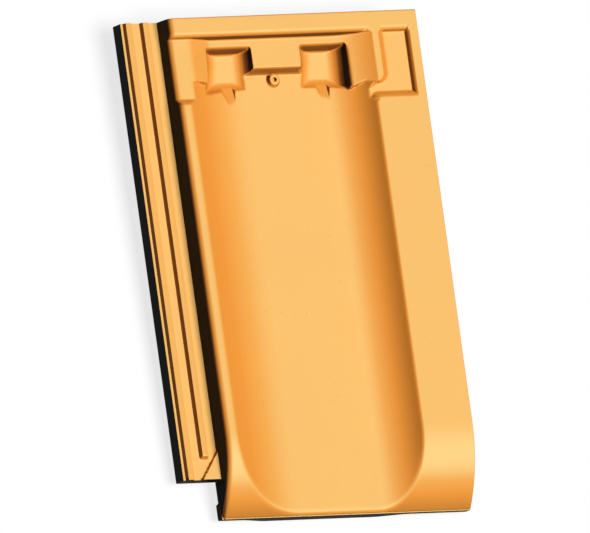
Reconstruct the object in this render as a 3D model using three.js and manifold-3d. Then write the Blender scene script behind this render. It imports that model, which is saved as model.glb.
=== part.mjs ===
// A large-format interlocking clay roof tile: one pressed and fired piece.
//
// The tile is drawn in its pressing position: x runs across it from the outer edge of the side lap to the
// cover edge, y runs up the roof from the foot edge to the head edge, and z is zero on the flat weather face.
// All sizes are in millimetres. At the end the piece is tilted by its small seat angle, so that it lies on a
// level floor the way it would unheld: on the foot rib and the two hanging nibs.

import * as THREE from 'three';
import { mergeVertices } from 'three/addons/utils/BufferGeometryUtils.js';
import Module from 'manifold-3d';

const wasm = await Module();
wasm.setup();

// ---------------------------------------------------------------- driving dimensions

// Outline, from the lap on the left to the flat on the right that covers the neighbour's lap
const tileLength = 463;
const tileWidth = 307;
const lapWidth = 41.5; // outer edge of the lap to the body wall, at the top of the wall
const lapCutBack = 36.5; // the lap stops this far above the foot edge
const crestWidth = 11.5; // body wall to the edge of the trough
const coverFlatWidth = 54; // edge of the trough to the cover edge
const partingLedge = 1.4; // shelf left where the two halves of the mould meet
const wallArris = 3.2; // rounding on top of the body wall
const coverArris = 1.5; // rounding of the cover edge
const wallDraft = 1.7; // the wall stands this much further out at its foot than at its top

// Trough: a flat floor between two concave flanks of different width
const troughDepth = 22.5;
const leftFlankRun = 71;
const rightFlankRun = 44.5;
const floorThickness = 12;

// Nose: the weather face rolls down to the foot edge
const noseRun = 77;
const noseDrop = 24.5;
const edgeSoftness = 3.4; // height over which the trough is blended into the flat
const noseSoftness = 2.4; // what the nose adds to that at the foot edge

// Underside
const bandDepthBelow = 29; // depth of the flat bands at both sides of the belly
const footRibWidth = 18;
const footRibDraft = 3.5;
const footRibDepth = 41.5; // weather face down to the seat of the foot rib
const footRibSides = 33; // the same at both ends of the rib
const footRibLeft = 50.5; // body wall to the rib's seat
const footRibRight = 92; // cover edge to the rib's seat
const footRibRise = 25; // run of the slopes at both ends of the seat

// Side lap: ledge, two saw-tooth ribs and two drain grooves
const lapThickness = 13.8; // ledge down to the underside of the lap
const lapDraft = 0.8;
const ledgeDepth = 19.2;
const grooveDepth = 21;
const ribHeight = 4.6;
const ribFlankRun = 1.5;
const ribBackRun = 6.8;
const outerRibAt = 2.4;
const innerRibAt = 21.2;
const innerRibEnd = 56; // foot edge to the inner rib's rounded end
const deflectorHeight = 2.7;
const deflectorLength = 25.5; // end of the lap to the deflector's tip on the body wall
const deflectorWidth = 19.5;

// Cover side: the hollow under the flat takes the neighbour's lap
const jointGap = 2.2; // cover edge to the neighbour's body wall
const coverClearance = 2; // between the cover and what it lies over
const coverSkirtWidth = 6.5;
const coverRibWidth = 5;
const coverRibDraft = 1.5;

// Head: rim, sunk band and the bank that closes the trough
const rimWidth = 16.7;
const rimWallRun = 3.8;
const bandDepth = 12;
const bandLeftInset = 9; // edge of the trough to the start of the band's left slope
const bandLeftRun = 26;
const bandRightOutset = 4; // the band's right slope ends this far past the edge of the trough
const bandRightRun = 40;
const bankWallRun = 5.6; // run of the bank's foot wall, from the band down to the trough floor
const bankSideRun = 1.7; // the same beside the right pocket, where the wall is steeper
const bankLeftEnd = 58; // head edge to the foot of the bank, left of the pockets
const bankCentreEnd = 47;
const bankRightEnd = 70.5;

// Side recesses and the water rib between the band and the right recess
const recessDepth = 5;
const recessLength = 75.5; // head edge to the foot end of the recesses
const recessEndRun = 4.2;
const recessWallRun = 0.8;
const recessCornerRadius = 16; // where the right recess turns towards the trough
const recessCornerRun = 1.5; // run of its foot wall
const frameWidth = 8.8; // flat left between the right recess and the cover edge
const waterRibWidth = 8.5;
const waterRibRun = 6.4; // run of the slope from the rib's crest to the recess
const waterRibEnd = 65; // head edge to the rounded end of the rib
const waterRibRadius = 8;

// The two moulded pockets with their drain tails, and the nibs below them
const nibMiddle = 6; // middle of the trough to the middle between the nibs
const nibSpacing = 101.5;
const pocketWidth = 49.5;
const pocketFloorDepth = 27;
const pocketFillet = 15;
const pocketHead = 27;
const pocketFoot = 65.5;
const pocketHeadRun = 5;
const pocketFootRun = 4;
const pocketCorner = 3.2;
const tailLength = 12;
const tailWidth = 8; // of its floor
const tailFlare = 0.8; // a tail widens this much to each side for each millimetre of height
const nibWidth = 44;
const nibDepth = 54; // weather face down to the bottom of a nib
const nibHead = 26;
const nibFoot = 60;
const nibDraft = 1.2;
const nibBackRun = 11;
const nibEdge = 2;
const nibCorner = 5;
const backHollowDepth = 26; // weather face to the roof of the hollow between the nibs
const backHollowMargin = 9; // head edge to the hollow
const backHollowDraft = 4;

// Nail boss on the trough floor
const bossRadius = 6.4;
const bossHeight = 3.5;
const bossDraft = 1.2;
const bossFromHead = 56.8;
const bossOffset = 1.3; // to the left of the middle between the nibs
const nailHoleRadius = 1.8;
const nailHoleDepth = 9;

// ---------------------------------------------------------------- derived places

const troughLeft = lapWidth + crestWidth;
const troughRight = tileWidth - coverFlatWidth;
const floorLeft = troughLeft + leftFlankRun;
const floorRight = troughRight - rightFlankRun;
const bandLeft = troughLeft + bandLeftInset;
const bandRight = troughRight + bandRightOutset;
const bellyDepth = troughDepth + floorThickness;
const lapUnderside = ledgeDepth + lapThickness;
const lapRoot = lapWidth + 6; // the lap runs on into the body as far as this
const wallFoot = lapWidth - wallDraft;
const coverPitch = tileWidth + jointGap - lapWidth; // from one tile to the next across the roof
const nibCentre = (troughLeft + troughRight) / 2 + nibMiddle;
const nibCentres = [nibCentre - nibSpacing / 2, nibCentre + nibSpacing / 2];
const overcut = 12; // how far a cutter reaches past the clay
const embed = 4; // how far an added form reaches into the clay
const root = -troughDepth - embed; // the forms of the head and the nibs start at this height

const footToHead = (fromHead) => tileLength - fromHead;

// ---------------------------------------------------------------- surfaces

// Height above the tangent of an arc that leaves level ground and climbs `rise` over `run`; past its end it
// goes on at the slope it ends with.
function arcRise(distance, run, rise) {
  const radius = (run * run + rise * rise) / (2 * rise);
  if (distance <= 0) return 0;
  if (distance <= run) return radius - Math.sqrt(radius * radius - distance * distance);
  return rise + (distance - run) * run / (radius - rise);
}

// The distance at which that arc has climbed `height`.
function arcReach(height, run, rise) {
  const radius = (run * run + rise * rise) / (2 * rise);
  return Math.sqrt(Math.max(2 * radius * height - height * height, 0));
}

function blendedMin(a, b, softness) {
  const overlap = Math.max(softness - Math.abs(a - b), 0);
  return Math.min(a, b) - overlap * overlap / (4 * softness);
}

function troughHeight(x) {
  const left = arcRise(floorLeft - x, leftFlankRun, troughDepth);
  const right = arcRise(x - floorRight, rightFlankRun, troughDepth);
  return -troughDepth + left + right;
}

function noseHeight(y) {
  return -arcRise(noseRun - y, noseRun, noseDrop);
}

function weatherHeight(x, y) {
  const softness = edgeSoftness + noseSoftness * Math.max(1 - y / noseRun, 0);
  return blendedMin(noseHeight(y), troughHeight(x), softness);
}

// Underside of the trough, one floor thickness below it measured square to the surface.
function bellyHeight(x) {
  const slope = (troughHeight(x + 0.1) - troughHeight(x - 0.1)) / 0.2;
  return troughHeight(x) - floorThickness * Math.hypot(1, slope);
}

function bandHeight(x) {
  const left = arcRise(bandLeft + bandLeftRun - x, bandLeftRun, bandDepth - recessDepth);
  const right = arcRise(x - bandRight + bandRightRun, bandRightRun, bandDepth);
  return -bandDepth + left + right;
}

// ---------------------------------------------------------------- building blocks

function solid(geometry) {
  const bare = geometry.clone();
  bare.deleteAttribute('normal');
  bare.deleteAttribute('uv');
  const merged = mergeVertices(bare, 1e-4);
  const triangles = [];
  for (let i = 0; i < merged.index.count; i += 3) {
    const [a, b, c] = merged.index.array.slice(i, i + 3);
    if (a !== b && b !== c && c !== a) triangles.push(a, b, c);
  }
  return new wasm.Manifold(new wasm.Mesh({
    numProp: 3,
    vertProperties: new Float32Array(merged.attributes.position.array),
    triVerts: new Uint32Array(triangles),
  }));
}

// A closed solid through rings of equally many points. `flat` gives a point's two coordinates in the plane
// of the end rings, in which the rings run anticlockwise.
function loft(rings, flat) {
  const count = rings[0].length;
  const index = [];
  for (let r = 0; r + 1 < rings.length; r += 1) {
    for (let i = 0; i < count; i += 1) {
      const a = r * count + i;
      const b = r * count + (i + 1) % count;
      index.push(a, b, b + count, a, b + count, a + count);
    }
  }
  const last = (rings.length - 1) * count;
  const cap = (ring) => THREE.ShapeUtils.triangulateShape(ring.map(flat), []);
  cap(rings[0]).forEach(([a, b, c]) => index.push(a, c, b));
  cap(rings[rings.length - 1]).forEach(([a, b, c]) => index.push(last + a, last + b, last + c));
  const geometry = new THREE.BufferGeometry();
  const positions = rings.flat().flatMap((p) => [p.x, p.y, p.z]);
  geometry.setAttribute('position', new THREE.Float32BufferAttribute(positions, 3));
  geometry.setIndex(index);
  return solid(geometry);
}

// Cross-sections of [x, z] points at places along the tile: stations are [y, points].
function sectionLoft(stations) {
  const rings = stations.map(([y, points]) => points.map(([x, z]) => new THREE.Vector3(x, y, z)));
  return loft(rings, (p) => new THREE.Vector2(p.z, p.x));
}

// Plan outlines of [x, y] points at several heights: levels are [z, points].
function planLoft(levels) {
  const rings = levels.map(([z, points]) => points.map(([x, y]) => new THREE.Vector3(x, y, z)));
  return loft(rings, (p) => new THREE.Vector2(p.x, p.y));
}

function extrusion(points, depth) {
  const shape = new THREE.Shape(points.map(([u, v]) => new THREE.Vector2(u, v)));
  return new THREE.ExtrudeGeometry(shape, { depth, bevelEnabled: false });
}

// A cross-section of [x, z] points, run along the tile from y0 to y1.
function alongTile(points, y0, y1) {
  return solid(extrusion(points, y1 - y0).rotateX(Math.PI / 2).translate(0, y1, 0));
}

// A side profile of [y, z] points, run across the tile from x0 to x1.
function acrossTile(points, x0, x1) {
  const turn = new THREE.Matrix4().makeBasis(
    new THREE.Vector3(0, 1, 0),
    new THREE.Vector3(0, 0, 1),
    new THREE.Vector3(1, 0, 0),
  );
  return solid(extrusion(points, x1 - x0).applyMatrix4(turn).translate(x0, 0, 0));
}

function spread(from, to, steps) {
  return Array.from({ length: steps + 1 }, (_, i) => from + (to - from) * i / steps);
}

function arc(cx, cy, radius, startDegrees, endDegrees, steps) {
  return spread(startDegrees, endDegrees, steps).map((degrees) => {
    const angle = THREE.MathUtils.degToRad(degrees);
    return [cx + radius * Math.cos(angle), cy + radius * Math.sin(angle)];
  });
}

// A rectangle with rounded corners, anticlockwise.
function roundedRectangle(x0, x1, y0, y1, radius, steps = 4) {
  return [
    ...arc(x1 - radius, y0 + radius, radius, -90, 0, steps),
    ...arc(x1 - radius, y1 - radius, radius, 0, 90, steps),
    ...arc(x0 + radius, y1 - radius, radius, 90, 180, steps),
    ...arc(x0 + radius, y0 + radius, radius, 180, 270, steps),
  ];
}

// ---------------------------------------------------------------- body: trough, crests and nose

// The columns of a section follow the crease between the nose and the trough, so that it stays smooth.
function bodyColumns(y, flankRun, steps) {
  const closest = 8; // the crease keeps this far from the trough floor
  const crease = Math.max(arcReach(troughDepth + noseHeight(y), flankRun, troughDepth), closest);
  const outside = [6.5, 4.2, 2.4, 1.1].map((offset) => crease + offset);
  const inside = spread(0, 1, steps).map((share) => crease * (1 - share ** 1.35));
  return [...outside, ...inside];
}

function bodySection(y, onLedge) {
  const top = (x) => (onLedge ? -noseDrop : weatherHeight(x, y));
  const edge = top(lapWidth);
  const arris = Math.min(wallArris, (edge + noseDrop + partingLedge) / 2);
  const wallTop = arc(lapWidth + arris, edge - arris, arris, 180, 90, 3);
  const left = bodyColumns(y, leftFlankRun, 11).map((distance) => floorLeft - distance);
  const right = bodyColumns(y, rightFlankRun, 10).map((distance) => floorRight + distance).reverse();
  const weather = [...left, ...right, tileWidth - coverArris].map((x) => [x, top(x)]);
  const coverEdge = [[tileWidth, top(tileWidth) - coverArris], [tileWidth - 0.6, -bandDepthBelow]];
  const bellyColumns = [
    ...spread(floorRight + rightFlankRun * 0.4, floorRight, 4),
    ...spread(floorLeft, floorLeft - leftFlankRun * 0.55, 6),
  ];
  const belly = bellyColumns.map((x) => [x, Math.min(bellyHeight(x), -bandDepthBelow)]);
  const wall = [[lapWidth - 1, -bandDepthBelow], [wallFoot, -noseDrop - partingLedge]];
  return [...wallTop, ...weather, ...coverEdge, ...belly, ...wall];
}

function body() {
  const rolled = noseRun - partingLedge;
  const noseStations = spread(0, 1, 20).map((share) => partingLedge + rolled * share ** 1.5);
  return sectionLoft([
    [0, bodySection(0, true)],
    [partingLedge, bodySection(partingLedge, true)],
    ...noseStations.map((y) => [y, bodySection(y, false)]),
    [tileLength, bodySection(tileLength, false)],
  ]);
}

// The foot rib hangs below the nose and rests on the head of the tile below.
function footRib() {
  const section = (seat, sides) => [
    [tileWidth - 0.6, -noseDrop - partingLedge],
    [tileWidth - 0.6, -sides],
    [tileWidth - footRibRight + footRibRise, -sides],
    [tileWidth - footRibRight, -seat],
    [lapWidth + footRibLeft, -seat],
    [lapWidth + footRibLeft - footRibRise, -sides],
    [lapWidth - 1, -sides],
    [wallFoot, -noseDrop - partingLedge],
  ];
  return sectionLoft([
    [0, section(footRibDepth, footRibSides)],
    [footRibWidth - footRibDraft, section(footRibDepth, footRibSides)],
    [footRibWidth, section(bellyDepth, bandDepthBelow)],
  ]);
}

// ---------------------------------------------------------------- side lap

function sawTooth(at, base) {
  return [
    [at, base],
    [at + ribFlankRun, -grooveDepth + ribHeight],
    [at + ribFlankRun + 0.8, -grooveDepth + ribHeight],
    [at + ribFlankRun + ribBackRun, -grooveDepth],
  ];
}

function lapSlab() {
  const section = [
    [lapDraft, -lapUnderside],
    [lapWidth - 1, -lapUnderside],
    [lapRoot, -bandDepthBelow],
    [lapRoot, -grooveDepth],
    ...sawTooth(outerRibAt, -ledgeDepth).reverse(),
    [0, -ledgeDepth],
  ];
  return alongTile(section, lapCutBack, tileLength);
}

function innerRib() {
  const base = -grooveDepth - embed;
  const right = innerRibAt + ribFlankRun + ribBackRun;
  const ridge = alongTile([[right, base], ...sawTooth(innerRibAt, base).reverse()], lapCutBack, tileLength);
  const outline = (y) => roundedRectangle(innerRibAt - 1, right + 1, y, tileLength + overcut, 4.5);
  return ridge.intersect(planLoft([[base - 1, outline(innerRibEnd)], [0, outline(innerRibEnd + 3)]]));
}

// A raised corner that turns the water of the inner groove away from the body wall.
function deflector() {
  const tip = lapCutBack + deflectorLength;
  const corner = (inset) => [
    [wallFoot - deflectorWidth + inset, lapCutBack],
    [lapRoot, lapCutBack],
    [lapRoot, tip + deflectorLength * 0.3 - inset],
    [wallFoot, tip - inset],
  ];
  return planLoft([[-grooveDepth - embed, corner(-1)], [-grooveDepth + deflectorHeight, corner(0.6)]]);
}

// ---------------------------------------------------------------- cover side

// The hollow follows the underside of the flank; its ribs hang into the neighbour's grooves.
function coverHollow() {
  const roof = -grooveDepth + ribHeight + coverClearance;
  const ribBottom = -grooveDepth + coverClearance;
  const below = -bandDepthBelow - overcut;
  const grooveStart = coverPitch + outerRibAt + ribFlankRun + ribBackRun;
  const ribCentre = (grooveStart + coverPitch + innerRibAt) / 2;
  const ribHalf = coverRibWidth / 2;
  const skirt = tileWidth - coverSkirtWidth;
  const flank = spread(floorRight, troughRight + 8, 14)
    .map((x) => [x, bellyHeight(x)])
    .filter(([, z]) => z > -bandDepthBelow && z < roof);
  const start = flank[0][0] - 4;
  const section = [
    [start, below],
    [tileWidth + overcut, below],
    [tileWidth + overcut, ribBottom],
    [skirt, ribBottom],
    [skirt - coverRibDraft, roof],
    [ribCentre + ribHalf + coverRibDraft, roof],
    [ribCentre + ribHalf, ribBottom],
    [ribCentre - ribHalf, ribBottom],
    [ribCentre - ribHalf - coverRibDraft, roof],
    [flank[flank.length - 1][0] + 3, roof],
    ...flank.reverse(),
    [start, -bandDepthBelow],
  ];
  return alongTile(section, lapCutBack - coverClearance, tileLength + overcut);
}

// ---------------------------------------------------------------- head: rim, band, recesses

function bandLine() {
  const columns = [
    ...spread(bandLeft - embed, bandLeft + bandLeftRun, 8),
    ...spread(bandRight - bandRightRun, bandRight, 9),
  ];
  return columns.map((x) => [x, Math.min(bandHeight(x), x < nibCentre ? -recessDepth : 0)]);
}

// The bank fills the head of the trough up to the band. Its foot is stepped: it reaches furthest beside the
// pockets and stands back between them.
function bank() {
  const left = nibCentres[0] - pocketWidth / 2 + 1;
  const right = nibCentres[1] + pocketWidth / 2 - 1;
  const wallHeight = troughDepth - bandDepth;
  const edge = (below) => {
    const slope = below * bankWallRun / wallHeight;
    const sideSlope = below * bankSideRun / wallHeight;
    return [
      [bandLeft - embed, footToHead(bankLeftEnd - 2 + slope)],
      [left, footToHead(bankLeftEnd + slope)],
      [left, footToHead(bankCentreEnd + slope)],
      [right, footToHead(bankCentreEnd + slope)],
      [right, footToHead(bankRightEnd + sideSlope)],
      [bandRight, footToHead(waterRibEnd - 1 + sideSlope)],
      [bandRight, footToHead(rimWidth - embed)],
      [bandLeft - embed, footToHead(rimWidth - embed)],
    ];
  };
  const fillFoot = footToHead(bankRightEnd + bellyDepth);
  const section = [[bandLeft - embed, root], [bandRight, root], ...bandLine().reverse()];
  const fill = alongTile(section, fillFoot, footToHead(rimWidth - embed));
  return fill.intersect(planLoft([
    [root - embed, edge(-bandDepth - root + embed)],
    [-bandDepth, edge(0)],
    [1, edge(0)],
  ]));
}

function rim() {
  const wallFootAt = footToHead(rimWidth + rimWallRun);
  const profile = [
    [wallFootAt, root],
    [tileLength, root],
    [tileLength, 0],
    [footToHead(rimWidth), 0],
    [wallFootAt, -bandDepth],
  ];
  return acrossTile(profile, lapRoot, bandRight + embed);
}

// Takes the crest beside the trough down to the end of the band's right slope.
function bandCut() {
  const foot = footToHead(waterRibEnd);
  const head = footToHead(rimWidth);
  const over = [[bandLeft - embed, overcut], ...bandLine(), [bandRight, overcut]];
  const reach = [
    [foot, -bandDepth - 1],
    [head - rimWallRun, -bandDepth],
    [head, 0],
    [head, overcut],
    [foot, overcut],
  ];
  return alongTile(over, foot, tileLength).intersect(acrossTile(reach, 0, tileWidth));
}

function leftRecess() {
  const outline = (grow) => {
    const foot = footToHead(recessLength + grow * recessEndRun);
    const head = footToHead(rimWidth + (1 - grow) * recessWallRun);
    const right = bandLeft + 2;
    return [[lapWidth - overcut, foot], [right, foot], [right, head], [lapWidth - overcut, head]];
  };
  return planLoft([[-recessDepth, outline(0)], [0, outline(1)], [overcut, outline(1)]]);
}

// The right recess turns round the end of the water rib and drains into the trough.
function rightRecess() {
  const inTrough = troughRight - 14;
  const turnX = bandRight + recessCornerRadius / 2;
  const turnY = footToHead(recessLength + recessCornerRadius);
  const outline = (grow) => {
    const ribSide = bandRight + waterRibWidth + waterRibRun * (1 - grow);
    const ribFoot = footToHead(waterRibEnd + (1 - grow) * recessWallRun);
    const frame = tileWidth - frameWidth - (1 - grow) * recessWallRun;
    const foot = footToHead(recessLength + grow * recessCornerRun);
    const head = footToHead(rimWidth + (1 - grow) * recessWallRun);
    return [
      [inTrough, turnY],
      ...arc(turnX, turnY, recessCornerRadius - grow * recessCornerRun, 180, 90, 8),
      [frame, foot],
      [frame, head],
      [ribSide, head],
      ...arc(ribSide - waterRibRadius, ribFoot + waterRibRadius, waterRibRadius, 0, -90, 6),
      [inTrough, ribFoot],
    ];
  };
  return planLoft([[-recessDepth, outline(0)], [0, outline(1)], [overcut, outline(1)]]);
}

// ---------------------------------------------------------------- pockets and nibs

// A pocket opens upwards from its floor along a quarter circle, so its rings are taken by angle.
function pocket(centre) {
  const ring = (degrees) => {
    const angle = THREE.MathUtils.degToRad(degrees);
    const closed = 1 - Math.sin(angle);
    const half = pocketWidth / 2 - pocketFillet * closed;
    const foot = footToHead(pocketFoot - pocketFootRun * closed);
    const head = footToHead(pocketHead + pocketHeadRun * closed);
    const corner = pocketCorner * (2 - closed);
    const z = -pocketFloorDepth + pocketFillet * (1 - Math.cos(angle));
    return [z, roundedRectangle(centre - half, centre + half, foot, head, corner)];
  };
  const levels = spread(0, 90, 6).map(ring);
  const mouth = levels[levels.length - 1][1];
  return planLoft([...levels, [overcut, mouth]]);
}

// The tail leads the water out of a pocket: its floor climbs from the pocket's to the trough's.
function drainTail(centre) {
  const top = -troughDepth + pocketCorner;
  const section = (floor) => {
    const half = tailWidth / 2;
    const flare = tailFlare * (top - floor);
    return [
      [centre - half - flare, top],
      [centre + half + flare, top],
      [centre + half, floor],
      [centre - half, floor],
    ];
  };
  return sectionLoft([
    [footToHead(pocketFoot + tailLength), section(-troughDepth)],
    [footToHead(pocketFoot), section(-pocketFloorDepth)],
    [footToHead(pocketFoot - pocketFootRun), section(-pocketFloorDepth)],
  ]);
}

function nib(centre) {
  const level = (z, side, back) => {
    const half = nibWidth / 2 - side;
    return [z, roundedRectangle(
      centre - half,
      centre + half,
      footToHead(nibFoot - side),
      footToHead(nibHead + back),
      nibCorner,
    )];
  };
  return planLoft([
    level(-nibDepth, nibDraft + nibEdge, nibBackRun + nibEdge),
    level(-nibDepth + nibEdge, nibDraft, nibBackRun),
    level(root, 0, 0),
  ]);
}

function backHollow() {
  const left = nibCentres[0] + nibWidth / 2 + nibEdge;
  const right = nibCentres[1] - nibWidth / 2 - nibEdge;
  const foot = footToHead(bankCentreEnd);
  const head = footToHead(backHollowMargin);
  const level = (z, inset) => {
    const outline = roundedRectangle(left + inset, right - inset, foot + inset, head - inset, nibCorner);
    return [z, outline];
  };
  return planLoft([
    level(-nibDepth, 0),
    level(-bellyDepth, 0),
    level(-backHollowDepth, backHollowDraft),
  ]);
}

// ---------------------------------------------------------------- nail boss

function turned(profile) {
  const lathe = new THREE.LatheGeometry(profile.map(([r, z]) => new THREE.Vector2(r, z)), 32);
  return solid(lathe.rotateX(Math.PI / 2).translate(nibCentre - bossOffset, footToHead(bossFromHead), 0));
}

function nailBoss() {
  const top = -troughDepth + bossHeight;
  const topRadius = bossRadius - bossDraft;
  return turned([
    [0, -troughDepth - embed],
    [bossRadius, -troughDepth - embed],
    [bossRadius, -troughDepth],
    [topRadius, top - 0.7],
    [topRadius - 0.7, top],
    [0, top],
  ]);
}

function nailHole() {
  const above = -troughDepth + bossHeight + 1;
  const bottom = above - 1 - nailHoleDepth;
  return turned([[0, bottom], [nailHoleRadius, bottom], [nailHoleRadius, above], [0, above]]);
}

// ---------------------------------------------------------------- the tile

function tile() {
  let clay = body().add(footRib()).add(lapSlab()).add(innerRib()).add(deflector());
  clay = clay.add(bank()).add(rim()).subtract(bandCut());
  clay = clay.subtract(coverHollow()).subtract(leftRecess()).subtract(rightRecess());
  for (const centre of nibCentres) {
    clay = clay.add(nib(centre)).subtract(pocket(centre)).subtract(drainTail(centre));
  }
  clay = clay.subtract(backHollow()).add(nailBoss()).subtract(nailHole());
  const mesh = clay.getMesh();
  const geometry = new THREE.BufferGeometry();
  geometry.setAttribute('position', new THREE.Float32BufferAttribute(mesh.vertProperties, 3));
  geometry.setIndex(new THREE.Uint32BufferAttribute(mesh.triVerts, 1));
  geometry.computeVertexNormals();
  return geometry;
}

const firedClay = new THREE.MeshStandardMaterial({ color: 0xe9a35a, roughness: 0.72, metalness: 0 });
const roofTile = new THREE.Mesh(tile(), firedClay);
roofTile.name = 'roof_tile';

// Seat angle: the foot edge of the rib and the foot edges of the nib bottoms touch the floor together.
const nibSeat = footToHead(nibFoot - nibDraft - nibEdge);
const seatAngle = Math.atan2(nibDepth - footRibDepth, nibSeat);

const lying = new THREE.Group();
lying.add(roofTile);
lying.rotation.x = seatAngle;
lying.updateMatrixWorld(true);
const box = new THREE.Box3().setFromObject(lying, true);
lying.position.set(-(box.min.x + box.max.x) / 2, -(box.min.y + box.max.y) / 2, -box.min.z);

const group = new THREE.Group();
group.add(lying);

export default group;
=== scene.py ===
# A large-format interlocking roof tile of fired clay, lying on a pale floor.
#
# The tile is shaped in its pressing position, in metres: x runs across it from the outer edge of the
# side lap to the cover edge, y runs up the roof from the foot edge, and z is zero on the flat weather
# face. It is then laid down on its foot rib and nibs.

import math

import bmesh
import bpy
from mathutils import Matrix, Vector


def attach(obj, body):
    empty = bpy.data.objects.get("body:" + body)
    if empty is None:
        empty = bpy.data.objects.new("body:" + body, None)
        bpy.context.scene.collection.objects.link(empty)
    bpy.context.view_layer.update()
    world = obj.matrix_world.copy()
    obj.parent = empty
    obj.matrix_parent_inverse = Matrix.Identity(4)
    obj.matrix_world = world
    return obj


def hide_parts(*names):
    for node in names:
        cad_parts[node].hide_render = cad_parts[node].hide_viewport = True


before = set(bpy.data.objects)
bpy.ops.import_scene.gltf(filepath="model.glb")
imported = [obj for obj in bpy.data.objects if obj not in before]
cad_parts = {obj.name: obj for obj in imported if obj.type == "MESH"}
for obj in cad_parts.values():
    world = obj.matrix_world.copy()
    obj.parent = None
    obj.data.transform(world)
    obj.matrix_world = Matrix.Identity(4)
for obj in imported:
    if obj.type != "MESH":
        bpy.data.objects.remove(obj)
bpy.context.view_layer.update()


# ---------------------------------------------------------------- the press
# A tile is pressed from a slab of plastic clay between an upper and a lower mould. Here the press is a
# geometry tree: it gives every point of the slab's upper face the height of the upper mould, and every
# point of its lower face the height of the lower one.

class Wire:
    """A socket's value. Expressions on it add Math nodes to its tree."""

    def __init__(self, tree, socket):
        self.tree = tree
        self.socket = socket

    def node(self, kind, settings, inputs):
        """Adds a node, makes its settings and feeds its sockets with numbers, colours or wires."""
        made = self.tree.nodes.new(kind)
        for name, setting in settings.items():
            if name == "stops":
                ramp = made.color_ramp
                while len(ramp.elements) < len(setting):
                    ramp.elements.new(1)
                for element, (place, colour) in zip(ramp.elements, setting):
                    element.position = place
                    element.color = colour
            else:
                setattr(made, name, setting)
        for key, value in inputs.items():
            if isinstance(value, Wire):
                self.tree.links.new(value.socket, made.inputs[key])
            else:
                made.inputs[key].default_value = value
        return made

    def wire(self, kind, settings, inputs, output=0):
        return Wire(self.tree, self.node(kind, settings, inputs).outputs[output])

    def math(self, operation, *values):
        return self.wire("ShaderNodeMath", {"operation": operation}, dict(enumerate(values)))

    def __add__(self, other):
        return self.math("ADD", self, other)

    def __radd__(self, other):
        return self.math("ADD", other, self)

    def __sub__(self, other):
        return self.math("SUBTRACT", self, other)

    def __rsub__(self, other):
        return self.math("SUBTRACT", other, self)

    def __mul__(self, other):
        return self.math("MULTIPLY", self, other)

    def __rmul__(self, other):
        return self.math("MULTIPLY", other, self)

    def __truediv__(self, other):
        return self.math("DIVIDE", self, other)

    def __pow__(self, other):
        return self.math("POWER", self, other)

    def __neg__(self):
        return self.math("MULTIPLY", self, -1)

    def __abs__(self):
        return self.math("ABSOLUTE", self)


def root(value):
    return value.math("SQRT", value)


def least(first, second, softness=0):
    if softness:
        return first.math("SMOOTH_MIN", first, second, softness)
    return first.math("MINIMUM", first, second)


def most(first, second, softness=0):
    if softness:
        return first.math("SMOOTH_MAX", first, second, softness)
    return first.math("MAXIMUM", first, second)


press = bpy.data.node_groups.new("tile press", "GeometryNodeTree")
press.interface.new_socket("Geometry", in_out="OUTPUT", socket_type="NodeSocketGeometry")
press.interface.new_socket("Geometry", in_out="INPUT", socket_type="NodeSocketGeometry")
press_inputs = press.nodes.new("NodeGroupInput")


def size(name, value):
    """A named input of the press that holds one size of the tile."""
    made = press.interface.new_socket(name, in_out="INPUT", socket_type="NodeSocketFloat")
    made.default_value = value
    return Wire(press, press_inputs.outputs[name])


position = press.nodes.new("GeometryNodeInputPosition")
slab_point = Wire(press, position.outputs[0])
separate = slab_point.node("ShaderNodeSeparateXYZ", {}, {0: slab_point})
x = Wire(press, separate.outputs[0])
y = Wire(press, separate.outputs[1])
z = Wire(press, separate.outputs[2])
STEEP = 20  # slope of a mould wall that is all but upright


# ---------------------------------------------------------------- trough and rolled foot edge
# The weather face is a wide trough between two flats. Its flanks are arcs that meet a level floor, and
# towards the foot the whole face rolls down, so that the tile below is covered without a gap.

tile_length = 0.463
tile_width = 0.307
lap_width = 0.0407
crest_width = 0.0123
cover_flat_width = 0.054
trough_left = lap_width + crest_width
trough_right = tile_width - cover_flat_width
trough_drop = 0.0225
left_flank_run = 0.071
right_flank_run = 0.0445
floor_left = trough_left + left_flank_run
floor_right = trough_right - right_flank_run
nose_run = 0.077
lip_softness = 0.0032

trough_depth = size("Trough depth", trough_drop)
nose_drop = size("Nose drop", 0.0245)
from_head = tile_length - y


def climb(distance, run, rise):
    """Height of an arc that leaves level ground and climbs rise over run, then goes straight on."""
    radius = (run * run + rise * rise) / (rise * 2)
    reach = least(most(distance, 0), run)
    beyond = most(distance - run, 0) * run / (radius - rise)
    return radius - root(radius * radius - reach * reach) + beyond


left_flank = climb(floor_left - x, left_flank_run, trough_depth)
right_flank = climb(x - floor_right, right_flank_run, trough_depth)
trough = left_flank + right_flank - trough_depth
nose = -climb(nose_run - y, nose_run, nose_drop)
weather = least(nose, trough, lip_softness)


# ---------------------------------------------------------------- bank and band at the head
# At the head the trough is filled up to a shallow band, on which the foot rib of the next tile comes to
# lie. The bank's foot is stepped: it stands back between the two pockets.

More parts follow.
